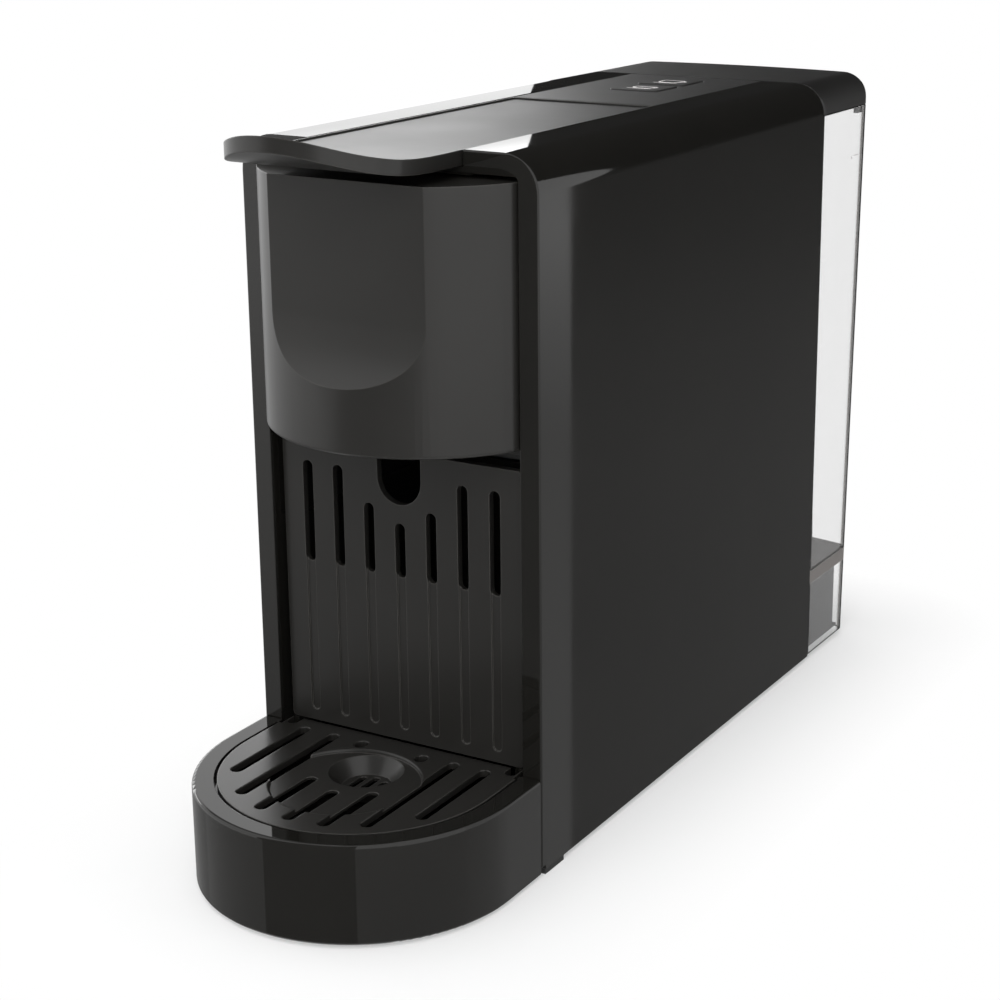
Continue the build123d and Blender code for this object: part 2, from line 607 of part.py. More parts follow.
grid_r = lip - grid_gap
slot_back = -1.8
grid = d_plan(grid_r, -3.1, grid_z0, tray_z1)
grid += block(-neck_half, neck_half, -4, 3.7, grid_z0, tray_z1)
cup_floor = tray_z1 - 1.3
dish_z0 = cup_floor - drain_h
dish = Pos(0, drain_y, (dish_z0 + cup_floor) / 2) * Cone(drain_foot_r, drain_r, drain_h)
grid += Pos(0, drain_y, (dish_z0 + grid_z0) / 2) * Cone(drain_foot_r + 1.6, drain_r + 1.2, grid_z0 - dish_z0 + 2.4)
grid -= rod_z(cup_r, cup_floor, tray_z1 + 1, 0, cup_y)
grid -= rod_z(drain_r, cup_floor - touch, tray_z1 + 1, 0, drain_y)
grid -= dish
slot_r = grid_r - 5
keep_r = drain_r + 4.5
grid_count = int((slot_r - 3) / slot_pitch)
for k in range(-grid_count, grid_count + 1):
    x = slot_pitch * k
    y_front = tray_cy - math.sqrt(slot_r ** 2 - x ** 2)
    if abs(x) > keep_r:
        grid -= long_hole(x, y_front, slot_back, grid_slot, grid_z0 - 5, tray_z1 + 1)
        continue
    keep = math.sqrt(keep_r ** 2 - x ** 2)
    grid -= long_hole(x, y_front, drain_y - keep, grid_slot, grid_z0 - 5, tray_z1 + 1)
    if drain_y + keep < slot_back - grid_slot:
        grid -= long_hole(x, drain_y + keep, slot_back, grid_slot, grid_z0 - 5, tray_z1 + 1)
# short slots in the rear corners
for x in (2.5 - neck_half, neck_half - 2.5):
    grid -= long_hole(x, -1.8, 6, grid_slot, grid_z0 - 5, tray_z1 + 1)
drain_pitch = drain_foot_r / 2
for x in (-drain_pitch, 0, drain_pitch):
    reach = drain_foot_r - 1.6 - abs(x) * 0.35
    grid -= long_hole(x, drain_y - reach, drain_y + reach, 2.6, dish_z0 - 3, cup_floor)
parts["drip_grid"] = grid


# ---------------------------------------------------------------- water tank
def rear_side(z):
    return tank_side_low + tank_lean * (z - tank_z0) / (tank_z1 - tank_z0)


def tank_plan(z, inset):
    h = half - inset
    y0 = tank_y0 + inset
    ys = rear_side(z) - inset
    ym = ys + tank_bow
    outline = Polyline((-h, ys), (-h, y0), (h, y0), (h, ys)) + ThreePointArc((h, ys), (0, ym), (-h, ys))
    face = make_face(outline)
    corners = [v for v in face.vertices() if v.Y > y0 + 5]
    return Pos(0, 0, z) * fillet(corners, 5 - inset)


def tank_solid(z0, z1, inset):
    return loft([tank_plan(z0, inset), tank_plan(z1, inset)])


tank = tank_solid(tank_z0, tank_z1, 0)
tank -= tank_solid(tank_floor, tank_z1 + 3, tank_wall)
tank -= tank_solid(tank_z0 - 3, tank_floor - tank_floor_t, tank_wall)
tank -= block(tank_wall - half, half - tank_wall, body_d - 5, body_d + 6, 0, tank_floor - tank_floor_t)
tank -= rod_z(3.2, tank_floor - 8, tank_floor + 7, 0, valve_y)
parts["water_tank"] = tank

valve = rod_z(6.5, tank_floor + 3.1, tank_floor + 5.1, 0, valve_y)
valve += rod_z(2.4, tank_floor - 1.4, tank_floor + 4, 0, valve_y)
parts["tank_valve"] = valve
inlet_z0 = tank_floor - 9.3
seal = rod_z(inlet_r, inlet_z0, tank_floor - tank_floor_t - 0.1, 0, valve_y)
seal += rod_z(1.6, inlet_z0 + 1, tank_floor - 1.4 - touch, 0, valve_y)
parts["water_inlet"] = seal

lid_t = 2.4
lid_y1 = tank_side_top + tank_bow + 20
lid = arch(half, body_h, shoulder, body_h - 80, tank_y0, lid_y1)
lid -= block(-half - 1, half + 1, body_d - 5, lid_y1 + 1, body_h - 90, tank_z1 + 0.2)
lid_plan = tank_plan(tank_z1, 0)
lid = lid & extrude(Pos(0, 0, -20) * lid_plan, amount=60)
lid_hollow = arch(half - lid_t, body_h - lid_t, shoulder - lid_t, body_h - 80, tank_y0 + lid_t, lid_y1)
lid -= lid_hollow & extrude(Pos(0, 0, -20) * tank_plan(tank_z1, lid_t), amount=60)
plug_edge = tank_wall + gap
ring_out = extrude(Pos(0, 0, -tab_h) * tank_plan(tank_z1, plug_edge), amount=tab_h + 1.2)
ring_in = extrude(Pos(0, 0, -tab_h - 1) * tank_plan(tank_z1, plug_edge + 1.8), amount=tab_h + 4)
plug = ring_out - ring_in
tab_back = tank_side_top - plug_edge - 1.5
tab_front = tank_y0 + plug_edge + 1.5
for y0, y1 in ((tab_front + tab_l, tab_back - tab_l), (tab_back, far), (-far, tab_front)):
    plug -= block(-half, half, y0, y1, tank_z1 - far, tank_z1 - plug_h)
for y0, y1 in ((tab_front, tab_front + tab_l), (tab_back - tab_l, tab_back)):
    plug -= block(plug_edge + 2 - half, half - plug_edge - 2, y0, y1, tank_z1 - far, tank_z1 - plug_h)
lid += plug
parts["tank_lid"] = lid


# ---------------------------------------------------------------- pump, heater, pipes
pump_z = plate_z1 + 28.6
pump_back = pump_y0 + 56
pump = rod_y(pump_r, pump_y0, pump_y0 + 40, pump_x, pump_z)
pump += block(pump_x - pump_r, pump_x + pump_r, pump_y0 + 6, pump_y0 + 34, pump_z - pump_r, pump_z + pump_r)
pump += rod_y(7, pump_y0 + 40, pump_back, pump_x, pump_z) + rod_y(5, pump_y0 - 6, pump_y0, pump_x, pump_z)
parts["pump"] = pump
mount_z0 = plate_z1 + rib_h + touch
mount_half = pump_r + 1
mount = block(pump_x - mount_half, pump_x + mount_half, pump_y0 + 2, pump_y0 + 38, mount_z0, mount_z0 + 3)
for y in (pump_y0 + 2, pump_y0 + 34.5):
    mount += block(pump_x - mount_half, pump_x + mount_half, y, y + 3.5, mount_z0, pump_z + pump_r - 1)
mount -= rod_y(pump_r + 0.1, pump_y0 - 5, pump_y0 + 45, pump_x, pump_z)
parts["pump_mount"] = mount

behind_bay = bay_back + 5.5
heater_front = heater_y - 15
heater = block(heater_x - 15, heater_x + 15, heater_front, heater_y + 15, heater_z0, heater_z1)
heater = fillet(heater.edges().filter_by(Axis.Z), 5)
for k in range(8):
    z = heater_z0 + 8 + 8 * k
    heater -= block(heater_x - 16, heater_x - 13, heater_y - 17, heater_y + 17, z, z + 3.5)
for z in (heater_z0 + 12, heater_z1 - 10):
    heater += rod_y(4, heater_front - 1.5, heater_front + 0.5, heater_x, z)
parts["heater"] = heater
bracket = block(heater_x - 18, heater_x + 18, heater_y - 11, heater_y + 11, mount_z0, mount_z0 + 3)
for x in (heater_x - 18, heater_x + 15.3):
    bracket += block(x, x + 2.7, heater_y - 7, heater_y + 7, mount_z0, heater_z1 - 26)
bracket += block(heater_x - 17, heater_x + 17, heater_y - 9, heater_y + 9, heater_z0 - 3, heater_z0 - touch)
parts["heater_bracket"] = bracket

meter = rod_z(meter_r, plate_z1 + touch, plate_z1 + 12, meter_x, meter_y)
meter += rod_z(meter_r - 4, plate_z1 + 12, plate_z1 + 15, meter_x, meter_y)
meter += rod_x(3, meter_x + 10, meter_x + 20, meter_y + 2, port_z)
meter += rod_y(3, meter_y + 9, meter_y + 12, meter_x, port_z)
parts["flow_meter"] = meter

power_x = wall + 1.7 - half
power_front = power_x + board_t
power_y1 = body_d - 9
power_z0 = roof_z1 + 2.6
part_z0 = power_z0 + post_in * 2
relay_y0 = pump_y0 + 32
fuse_y0 = power_y1 - 16
power = block(power_x, power_front, pump_y0 - 8, power_y1, power_z0, power_z0 + power_h)
power += block(power_front, power_front + relay_t, relay_y0, relay_y0 + relay_l, part_z0, part_z0 + relay_h)
power += block(power_front, power_front + fuse_t, fuse_y0, fuse_y0 + fuse_l, part_z0, part_z0 + fuse_h)
for y in (pump_y0 - 8 + post_in, power_y1 - 2 * post_in):
    for z in (power_z0 + post_in, power_z0 + power_h - 2.5 * post_in):
        power += rod_x(2.5, wall + 0.1 - half, power_x + 0.1, y, z)
parts["power_board"] = power


# A rubber hose with rounded corners through the given points.
def hose(*points):
    path = FilletPolyline(*points, radius=4.5)
    return sweep(Plane(origin=path @ 0, z_dir=path % 0) * Circle(2.9), path=path)


parts["hose_tank"] = hose(
    (0, valve_y, inlet_z0 - touch),
    (0, valve_y, port_z),
    (meter_x, valve_y, port_z),
    (meter_x, meter_y + 12 + touch, port_z),
)
parts["hose_pump"] = hose(
    (meter_x + 20 + touch, meter_y + 2, port_z),
    (pump_x, meter_y + 2, port_z),
    (pump_x, meter_y + 2, pump_z),
    (pump_x, pump_back + touch, pump_z),
)
parts["hose_heater"] = hose(
    (pump_x, pump_y0 - 6 - touch, pump_z),
    (pump_x, behind_bay, pump_z),
    (pump_x, behind_bay, heater_z0 + 12),
    (heater_x, behind_bay, heater_z0 + 12),
    (heater_x, heater_front - 1.5 - touch, heater_z0 + 12),
)
parts["hose_brew"] = hose(
    (heater_x, heater_front - 1.5 - touch, heater_z1 - 10),
    (heater_x, behind_bay, heater_z1 - 10),
    (0, behind_bay, heater_z1 - 10),
    (0, behind_bay, brew_z),
    (0, nozzle_y1 + 14 + touch, brew_z),
)

gland = rod_z(8, plate_z1 + touch, plate_z1 + 2, *gland_spot) + rod_z(6, plate_z0, plate_z1 + 1, *gland_spot)
gland -= rod_z(3.6, plate_z0 - 1, plate_z1 + 3, *gland_spot)
parts["cord_gland"] = gland


# ---------------------------------------------------------------- write the pieces
for name in parts:
    piece = parts[name].moved(Location((0, -mid_y, 0)))
    export_step(piece, "parts/" + name + ".step")
    box = piece.bounding_box()
    print(name, "solids", len(piece.solids()), [round(v, 1) for v in (*box.min, *box.max)])
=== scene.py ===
import json
import math

import bmesh
import bpy
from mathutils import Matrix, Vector


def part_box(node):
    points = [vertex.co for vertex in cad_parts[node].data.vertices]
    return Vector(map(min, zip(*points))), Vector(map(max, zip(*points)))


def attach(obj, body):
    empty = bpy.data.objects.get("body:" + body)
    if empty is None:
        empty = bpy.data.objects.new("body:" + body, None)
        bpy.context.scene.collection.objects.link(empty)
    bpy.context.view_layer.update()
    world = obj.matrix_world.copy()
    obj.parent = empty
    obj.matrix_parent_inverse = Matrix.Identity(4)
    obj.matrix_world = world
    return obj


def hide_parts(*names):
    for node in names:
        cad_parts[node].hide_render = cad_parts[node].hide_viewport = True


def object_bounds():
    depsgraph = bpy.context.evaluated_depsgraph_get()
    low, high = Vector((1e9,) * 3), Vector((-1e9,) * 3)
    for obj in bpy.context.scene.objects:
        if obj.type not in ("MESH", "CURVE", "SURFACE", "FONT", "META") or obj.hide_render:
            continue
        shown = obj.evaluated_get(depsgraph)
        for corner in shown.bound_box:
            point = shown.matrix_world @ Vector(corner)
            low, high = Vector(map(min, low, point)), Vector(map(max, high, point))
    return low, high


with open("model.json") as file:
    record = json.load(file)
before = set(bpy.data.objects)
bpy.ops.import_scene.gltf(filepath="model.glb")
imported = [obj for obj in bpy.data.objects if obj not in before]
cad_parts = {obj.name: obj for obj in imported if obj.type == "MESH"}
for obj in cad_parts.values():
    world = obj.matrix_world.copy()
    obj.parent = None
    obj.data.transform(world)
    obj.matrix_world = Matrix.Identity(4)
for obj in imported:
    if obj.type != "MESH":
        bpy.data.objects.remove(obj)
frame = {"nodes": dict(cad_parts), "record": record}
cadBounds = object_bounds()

nodes = frame["nodes"]
slotOf = {part["node"]: part["material_slot"] for part in frame["record"]["subparts"]}
bodyOf = {node: body for body, members in frame["record"]["behaviour"]["bodies"].items() for node in members}
scene = bpy.context.scene
print("stage: frame loaded,", len(nodes), "pieces")


# Small tools for node trees.

def addNode(tree, kind, settings=None, inputs=None):
    node = tree.nodes.new(kind)
    for name, value in (settings or {}).items():
        setattr(node, name, value)
    for key, value in (inputs or {}).items():
        if isinstance(value, bpy.types.NodeSocket):
            tree.links.new(value, node.inputs[key])
        else:
            node.inputs[key].default_value = value
    return node


def maths(tree, operation, a, b=0.0):
    return addNode(tree, "ShaderNodeMath", {"operation": operation}, {0: a, 1: b}).outputs[0]


def spread(tree, value, low, high, start=0.3, end=0.7):     # carries a pattern's start..end to low..high
    inputs = {"Value": value, "From Min": start, "From Max": end, "To Min": low, "To Max": high}
    return addNode(tree, "ShaderNodeMapRange", None, inputs).outputs[0]


def noise(tree, here, scale, detail):
    return addNode(tree, "ShaderNodeTexNoise", None, {"Vector": here, "Scale": scale, "Detail": detail}).outputs[0]


def tint(colour, times):
    return tuple(min(1.0, c * times) for c in colour[:3]) + (1.0,)


def blendColour(tree, factor, first, second):
    node = addNode(tree, "ShaderNodeMix", {"data_type": "RGBA"}, {"Factor": factor})
    for socket, value in ((node.inputs[6], first), (node.inputs[7], second)):
        if isinstance(value, bpy.types.NodeSocket):
            tree.links.new(value, socket)
        else:
            socket.default_value = value
    return node.outputs[2]


def newMaterial(name):
    material = bpy.data.materials.new(name)
    material.use_nodes = True
    tree = material.node_tree
    tree.nodes.clear()
    here = addNode(tree, "ShaderNodeTexCoord").outputs["Object"]
    return material, tree, here


def newShader(tree):
    shader = addNode(tree, "ShaderNodeBsdfPrincipled")
    showSurface(tree, shader.outputs[0])
    return shader


def showSurface(tree, surface):
    output = addNode(tree, "ShaderNodeOutputMaterial")
    tree.links.new(surface, output.inputs["Surface"])


def feed(tree, shader, inputs):      # links patterns to a shader's inputs
    for key, value in inputs.items():
        tree.links.new(value, shader.inputs[key])


def bump(tree, height, depth, strength, normal=None):
    inputs = {"Height": height, "Distance": depth, "Strength": strength}
    if normal:
        inputs["Normal"] = normal
    return addNode(tree, "ShaderNodeBump", None, inputs).outputs[0]


# Moulded, painted or cast finish: a cloud of gloss, a fine grain, and lighter edges, partly wear and mostly a painted
# highlight along the rims.
def finish(name, look):
    material, tree, here = newMaterial(name)
    shader = newShader(tree)
    cloud = noise(tree, here, look["cloud"], 4.0)
    grain = noise(tree, here, look["grain"], 2.0)
    soft = addNode(tree, "ShaderNodeBevel", {"samples": 4}, {"Radius": look["edge"]}).outputs[0]
    true = addNode(tree, "ShaderNodeNewGeometry").outputs["Normal"]
    facing = addNode(tree, "ShaderNodeVectorMath", {"operation": "DOT_PRODUCT"}, {0: soft, 1: true}).outputs["Value"]
    # Painted highlight and wear: where the rounded normal turns away from the true one, the base colour is lightened
    # many times.
    wornAndLitEdge = spread(tree, facing, look["wornAndLitShare"], 0.0, *look["edgeWithin"])
    shades = [tint(look["colour"], shade) for shade in look["shades"]]
    body = blendColour(tree, spread(tree, cloud, 0.0, 1.0), *shades)
    feed(tree, shader, {
        "Base Color": blendColour(tree, wornAndLitEdge, body, tint(look["colour"], look["wornAndLitTint"])),
        "Roughness": spread(tree, cloud, look["rough"] - look["roughSpread"], look["rough"] + look["roughSpread"]),
        "Normal": bump(tree, grain, look["grainDepth"], look["grainStrength"], soft)})
    shader.inputs["Metallic"].default_value = look["metal"]
    return material


# Turned metal: streaks along one axis.
def brushed(name, look):
    material, tree, here = newMaterial(name)
    shader = newShader(tree)
    stretch = addNode(tree, "ShaderNodeMapping", None, {"Vector": here, "Scale": look["stretch"]}).outputs[0]
    streak = noise(tree, stretch, look["streak"], 3.0)
    cloud = noise(tree, here, look["cloud"], 3.0)
    shades = [tint(look["colour"], shade) for shade in look["shades"]]
    feed(tree, shader, {
        "Base Color": blendColour(tree, spread(tree, cloud, 0.0, 1.0), *shades),
        "Roughness": spread(tree, streak, look["rough"] - look["roughSpread"], look["rough"] + look["roughSpread"]),
        "Normal": bump(tree, streak, look["streakDepth"], look["streakStrength"])})
    shader.inputs["Metallic"].default_value = 1.0
    return material


# Clear plastic with faint flow waves and a trace of limescale haze. Where the look gives a frost, the floor is
# frosted between two heights, and the upright rear corners are tinted darker: a painted shade for the dark band that
# light makes in thick clear plastic.
def clearPlastic(name, look):
    material, tree, here = newMaterial(name)
    shader = newShader(tree)
    haze = noise(tree, here, look["haze"], 5.0)
    shades = [tint(look["colour"], shade) for shade in look["shades"]]
    colour = blendColour(tree, spread(tree, haze, 0.0, 1.0), *shades)
    shader.inputs["Transmission Weight"].default_value = look["transmission"]
    shader.inputs["IOR"].default_value = look["ior"]
    if "frost" in look:
        along = addNode(tree, "ShaderNodeSeparateXYZ", None, {0: here}).outputs
        low, high = look["frost"]
        frost = maths(tree, "MULTIPLY", spread(tree, along["Z"], 0.0, 1.0, low, low + look["blur"]),
                      spread(tree, along["Z"], 1.0, 0.0, high, high + look["blur"]))
        foot = look["cornerFoot"]
        rear = maths(tree, "SUBTRACT", along["Y"], maths(tree, "MULTIPLY", along["Z"], look["cornerLean"]))
        # Painted shade: a dark tint on the upright rear corners, where light through thick clear plastic leaves a
        # dark band.
        corner = maths(tree, "MULTIPLY", spread(tree, rear, 0.0, 1.0, foot - look["cornerWidth"], foot),
                       spread(tree, maths(tree, "ABSOLUTE", along["X"]), 0.0, 1.0, *look["cornerSide"]))
        colour = blendColour(tree, corner, colour, tint(look["cornerShadeColour"], 1.0))
        colour = blendColour(tree, frost, colour, tint(look["frostColour"], 1.0))
        clearness = spread(tree, frost, look["transmission"], look["frostClear"], 0.0, 1.0)
        feed(tree, shader, {"Transmission Weight": clearness})
    feed(tree, shader, {
        "Base Color": colour,
        "Roughness": spread(tree, haze, look["rough"], look["rough"] + look["roughSpread"]),
        "Normal": bump(tree, noise(tree, here, look["wave"], 1.0), look["waveDepth"], look["waveStrength"])})
    return material


# Circuit board: lacquer over a net of tracks.
def circuit(name, look):
    material, tree, here = newMaterial(name)
    shader = newShader(tree)
    tracks = addNode(tree, "ShaderNodeTexBrick", {"offset": 0.35, "squash": 0.6},
                     {"Vector": here, "Scale": look["scale"], "Mortar Size": look["track"]}).outputs["Fac"]
    pads = addNode(tree, "ShaderNodeTexVoronoi", {"feature": "DISTANCE_TO_EDGE"},
                   {"Vector": here, "Scale": look["pads"]}).outputs[0]
    mask = maths(tree, "MULTIPLY", tracks, spread(tree, pads, 1.0, look["padShade"], 0.0, look["padEdge"]))
    feed(tree, shader, {
        "Base Color": blendColour(tree, mask, tint(look["colour"], 1.0), tint(look["trackColour"], 1.0)),
        "Roughness": spread(tree, mask, look["rough"], look["rough"] + look["roughSpread"], 0.0, 1.0),
        "Normal": bump(tree, mask, look["depth"], look["strength"])})
    return material


# The edge tint lightens the colour along edges: a little wear, mostly a painted highlight line.
plasticLook = {"cloud": 22.0, "grain": 900.0, "grainDepth": 0.00002, "grainStrength": 0.2, "roughSpread": 0.02,
               "shades": (0.92, 1.08), "edge": 0.0005, "wornAndLitShare": 0.5, "edgeWithin": (0.86, 0.98), "wornAndLitTint": 7.0,
               "metal": 0.0}
finishes = {
    "gloss_black": finish("pianoBlack", {**plasticLook, "colour": (0.0082, 0.0078, 0.0068), "rough": 0.025,
                                         "grainStrength": 0.02, "roughSpread": 0.01, "edge": 0.00025}),
    "satin_black": finish("satinBlack", {**plasticLook, "colour": (0.0155, 0.0148, 0.0135), "rough": 0.3,
                                         "grainStrength": 0.08}),
    "silk_black": finish("silkBlack", {**plasticLook, "colour": (0.0095, 0.009, 0.0086), "rough": 0.4}),
    "matte_black": finish("mouldedBlack", {**plasticLook, "colour": (0.02, 0.02, 0.0195), "rough": 0.5,
                                           "roughSpread": 0.06, "grainStrength": 0.6, "wornAndLitTint": 3.0}),
    "grey_plastic": finish("mouldedGrey", {**plasticLook, "colour": (0.25, 0.25, 0.255), "rough": 0.45,
                                           "roughSpread": 0.06, "grainStrength": 0.5, "wornAndLitTint": 1.4}),
    "rubber": finish("softRubber", {**plasticLook, "colour": (0.025, 0.025, 0.025), "rough": 0.78,
                                    "roughSpread": 0.08, "grain": 1400.0, "grainStrength": 0.8, "wornAndLitTint": 2.0}),
    "steel": brushed("turnedSteel", {"colour": (0.62, 0.61, 0.6), "shades": (0.88, 1.08), "rough": 0.28,
                                     "roughSpread": 0.08, "cloud": 60.0, "streak": 600.0,
                                     "stretch": (1.0, 0.08, 1.0), "streakDepth": 0.00001, "streakStrength": 0.5}),
    "aluminium": finish("castAluminium", {**plasticLook, "colour": (0.6, 0.6, 0.6), "rough": 0.46,
                                          "roughSpread": 0.08, "grain": 500.0, "grainStrength": 0.7,
                                          "wornAndLitTint": 1.2, "metal": 1.0}),
    "clear": clearPlastic("clearTank", {"colour": (1.0, 1.0, 1.0), "shades": (1.0, 0.99), "haze": 120.0,
                                        "rough": 0.01, "roughSpread": 0.02, "wave": 30.0, "waveDepth": 0.00005,
                                        "waveStrength": 0.4, "ior": 1.49, "transmission": 1.0,
                                        # The corner colour is a painted shade on the tank's rear corners.
                                        "frost": (0.0333, 0.0387), "blur": 0.0003, "frostClear": 0.1,
                                        "frostColour": (0.23, 0.215, 0.205), "cornerFoot": 0.153,
                                        "cornerLean": 0.035, "cornerWidth": 0.001, "cornerSide": (0.0515, 0.053),
                                        "cornerShadeColour": (0.15, 0.145, 0.14)}),
    "board": circuit("boardGreen", {"colour": (0.012, 0.075, 0.035), "trackColour": (0.05, 0.2, 0.09),
                                    "scale": 220.0, "track": 0.03, "pads": 260.0, "padShade": 0.2, "padEdge": 0.2,
                                    "rough": 0.35, "roughSpread": 0.2, "depth": 0.00005, "strength": 0.6}),
    "hose": clearPlastic("siliconeHose", {"colour": (0.82, 0.83, 0.82), "shades": (1.0, 0.99), "haze": 300.0,
                                          "rough": 0.4, "roughSpread": 0.1, "wave": 90.0, "waveDepth": 0.0001,
                                          "waveStrength": 0.4, "ior": 1.42, "transmission": 0.35}),
}
print("stage: finishes made")


# Carried pieces with rounded edges.

def inScene(name, mesh):
    piece = bpy.data.objects.new(name, mesh)
    scene.collection.objects.link(piece)
    return piece


def settled(piece):      # works the modifiers in, and leaves the finish alone in the slots
    graph = bpy.context.evaluated_depsgraph_get()
    mesh = bpy.data.meshes.new_from_object(piece.evaluated_get(graph))
    coat = [material for material in mesh.materials if material][0]
    mesh.materials.clear()
    mesh.materials.append(coat)
    for face in mesh.polygons:
        face.material_index = 0
    piece.modifiers.clear()
    piece.data = mesh


# Edges that get a wider rounding than the fine one, told by their middle.
lidFront = {"frontTo": 0.1209, "foot": 0.2236, "side": 0.0535, "crown": 0.2335}
gridTop = {"height": 0.0344, "recess": 0.0245, "recessBack": 0.0342, "near": 0.0003,
           "roundMiddle": -0.11686, "roundRadius": 0.0462, "roundTo": -0.094}
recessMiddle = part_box("drip_grid")[1][1] - gridTop["recessBack"]


def onLidFront(at):
    outside = abs(at.x) > lidFront["side"] or at.z > lidFront["crown"]
    return at.y < lidFront["frontTo"] and at.z > lidFront["foot"] and outside


def onRecessRim(at):
    near = abs(math.hypot(at.x, at.y - recessMiddle) - gridTop["recess"]) < gridTop["near"]
    return at.z > gridTop["height"] and near


def onGridTop(at):
    within = math.hypot(at.x, at.y - gridTop["roundMiddle"]) < gridTop["roundRadius"]
    return at.z > gridTop["height"] and within and at.y < gridTop["roundTo"]


# What each piece shows: edge is how wide its edges are rounded, and slot its finish where the record has another.
# Its skin is drawn in (narrower, shorter) or sunk above a height, so that joints show.
shown = {
    "housing": {"edge": 0.0005},
    "head_cover": {"edge": 0.0004, "merge": 0.00001},
    "lever": {"edge": 0.0012, "slot": "satin_black"},
    "lever_inlay": {"edge": 0.0002, "narrower": 0.0003, "sunk": 0.0006},
    "control_panel": {"edge": 0.0003, "narrower": 0.0003},
    "key_short": {"edge": 0.0002, "slot": "silk_black", "sunk": 0.0004, "above": 0.2345},
    "key_long": {"edge": 0.0002, "slot": "silk_black", "sunk": 0.0004, "above": 0.2345},
    "capsule_bin": {"edge": 0.0003},
    "drip_tray": {"edge": 0.00012},
    "drip_grid": {"edge": 0.0003, "narrower": 0.0005, "shorter": 0.0005,
                  "soft": [(onRecessRim, 0.0009), (onGridTop, 0.0004)]},
    "base_frame": {"edge": 0.0004},
    "tank_lid": {"edge": 0.0005, "slot": "silk_black", "rim": 0.2224, "tabsBehind": 0.131,
                 "soft": [(onLidFront, 0.0014)]},
    "water_tank": {"edge": 0.0004},
}
rounding = {"sharp": math.radians(32), "flat": math.radians(0.4), "segments": 3, "softSegments": 4,
            "merge": 0.000025}


def cleaned(work, look):      # joins doubled points and flat faces, and leaves off the tabs in front of tabsBehind
    if "tabsBehind" in look:
        for vert in work.verts:
            if vert.co.z < look["rim"] and vert.co.y < look["tabsBehind"]:
                vert.co.z = look["rim"]
    merge = look.get("merge", rounding["merge"])
    bmesh.ops.remove_doubles(work, verts=work.verts, dist=merge)
    bmesh.ops.dissolve_degenerate(work, edges=work.edges, dist=merge)
    bmesh.ops.dissolve_limit(work, angle_limit=rounding["flat"], verts=work.verts, edges=work.edges)


def softened(work, look):
    for picked, width in look.get("soft", ()):
        rims = [line for line in work.edges
                if len(line.link_faces) == 2 and line.calc_face_angle(0.0) > rounding["sharp"]
                and picked((line.verts[0].co + line.verts[1].co) / 2)]
        bmesh.ops.bevel(work, geom=rims, offset=width, offset_type="OFFSET", segments=rounding["softSegments"],
                        profile=0.5, affect="EDGES", clamp_overlap=False)


def drawnIn(work, look):
    narrower, shorter, sunk, above = (look.get(key, 0.0) for key in ("narrower", "shorter", "sunk", "above"))
    half = max(vert.co.x for vert in work.verts)
    front, back = min(vert.co.y for vert in work.verts), max(vert.co.y for vert in work.verts)
    for vert in work.verts:
        vert.co.x *= 1.0 - narrower / half
        vert.co.y += shorter * (back - vert.co.y) / (back - front)
        vert.co.z -= sunk if vert.co.z > above else 0.0


def dressed(node, look):
    slotShown = look.get("slot", slotOf[node])
    mesh = nodes[node].data.copy()
    work = bmesh.new()
    work.from_mesh(mesh)
    cleaned(work, look)
    softened(work, look)
    drawnIn(work, look)
    for face in work.faces:
        face.smooth = True
    work.to_mesh(mesh)
    work.free()
    mesh.materials.clear()
    mesh.materials.append(finishes[slotShown])
    piece = inScene(node + "_shown", mesh)
    fine = piece.modifiers.new("rounding", "BEVEL")
    fine.width, fine.segments = look["edge"], rounding["segments"]
    fine.limit_method, fine.angle_limit = "ANGLE", rounding["sharp"]
    piece.modifiers.new("weighting", "WEIGHTED_NORMAL").keep_sharp = True
    settled(piece)
    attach(piece, bodyOf[node])
    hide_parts(node)


for node, look in shown.items():
    dressed(node, look)
for node, piece in nodes.items():
    piece.data.materials.clear()
    piece.data.materials.append(finishes[slotOf[node]])
print("stage: pieces dressed")


# Pieces grown by Geometry Nodes.

def growthTree(name, sizes):
    tree = bpy.data.node_groups.new(name, "GeometryNodeTree")
    tree.interface.new_socket(name="Geometry", in_out="INPUT", socket_type="NodeSocketGeometry")
    for label, value in sizes.items():
        tree.interface.new_socket(name=label, in_out="INPUT", socket_type="NodeSocketFloat").default_value = value
    tree.interface.new_socket(name="Geometry", in_out="OUTPUT", socket_type="NodeSocketGeometry")
    return tree, tree.nodes.new("NodeGroupInput").outputs


def endTree(tree, geometry, material):
    real = addNode(tree, "GeometryNodeRealizeInstances", None, {0: geometry})
    coated = addNode(tree, "GeometryNodeSetMaterial", None, {"Geometry": real.outputs[0], "Material": material})
    addNode(tree, "NodeGroupOutput", None, {0: coated.outputs[0]})


def onEachPoint(tree, points, *parts):
    node = tree.nodes.new("GeometryNodeJoinGeometry")
    for part in parts:
        tree.links.new(part, node.inputs[0])
    inputs = {"Points": points, "Instance": node.outputs[0]}
    return addNode(tree, "GeometryNodeInstanceOnPoints", None, inputs).outputs[0]


def lifted(tree, geometry, height):
    shift = addNode(tree, "ShaderNodeCombineXYZ", None, {"Z": height}).outputs[0]
    return addNode(tree, "GeometryNodeTransform", None, {"Geometry": geometry, "Translation": shift}).outputs[0]


def drum(tree, radius, height, foot, sides):      # an upright cylinder standing on foot
    inputs = {"Vertices": sides, "Radius": radius, "Depth": height}
    solid = addNode(tree, "GeometryNodeMeshCylinder", None, inputs).outputs["Mesh"]
    return lifted(tree, solid, maths(tree, "ADD", foot, maths(tree, "MULTIPLY", height, 0.5)))


def along(tree, curve, profile):
    inputs = {"Curve": curve, "Profile Curve": profile, "Fill Caps": True}
    return addNode(tree, "GeometryNodeCurveToMesh", None, inputs).outputs[0]


def circle(tree, radius, sides):
    inputs = {"Resolution": sides, "Radius": radius}
    return addNode(tree, "GeometryNodeCurvePrimitiveCircle", {"mode": "RADIUS"}, inputs).outputs["Curve"]


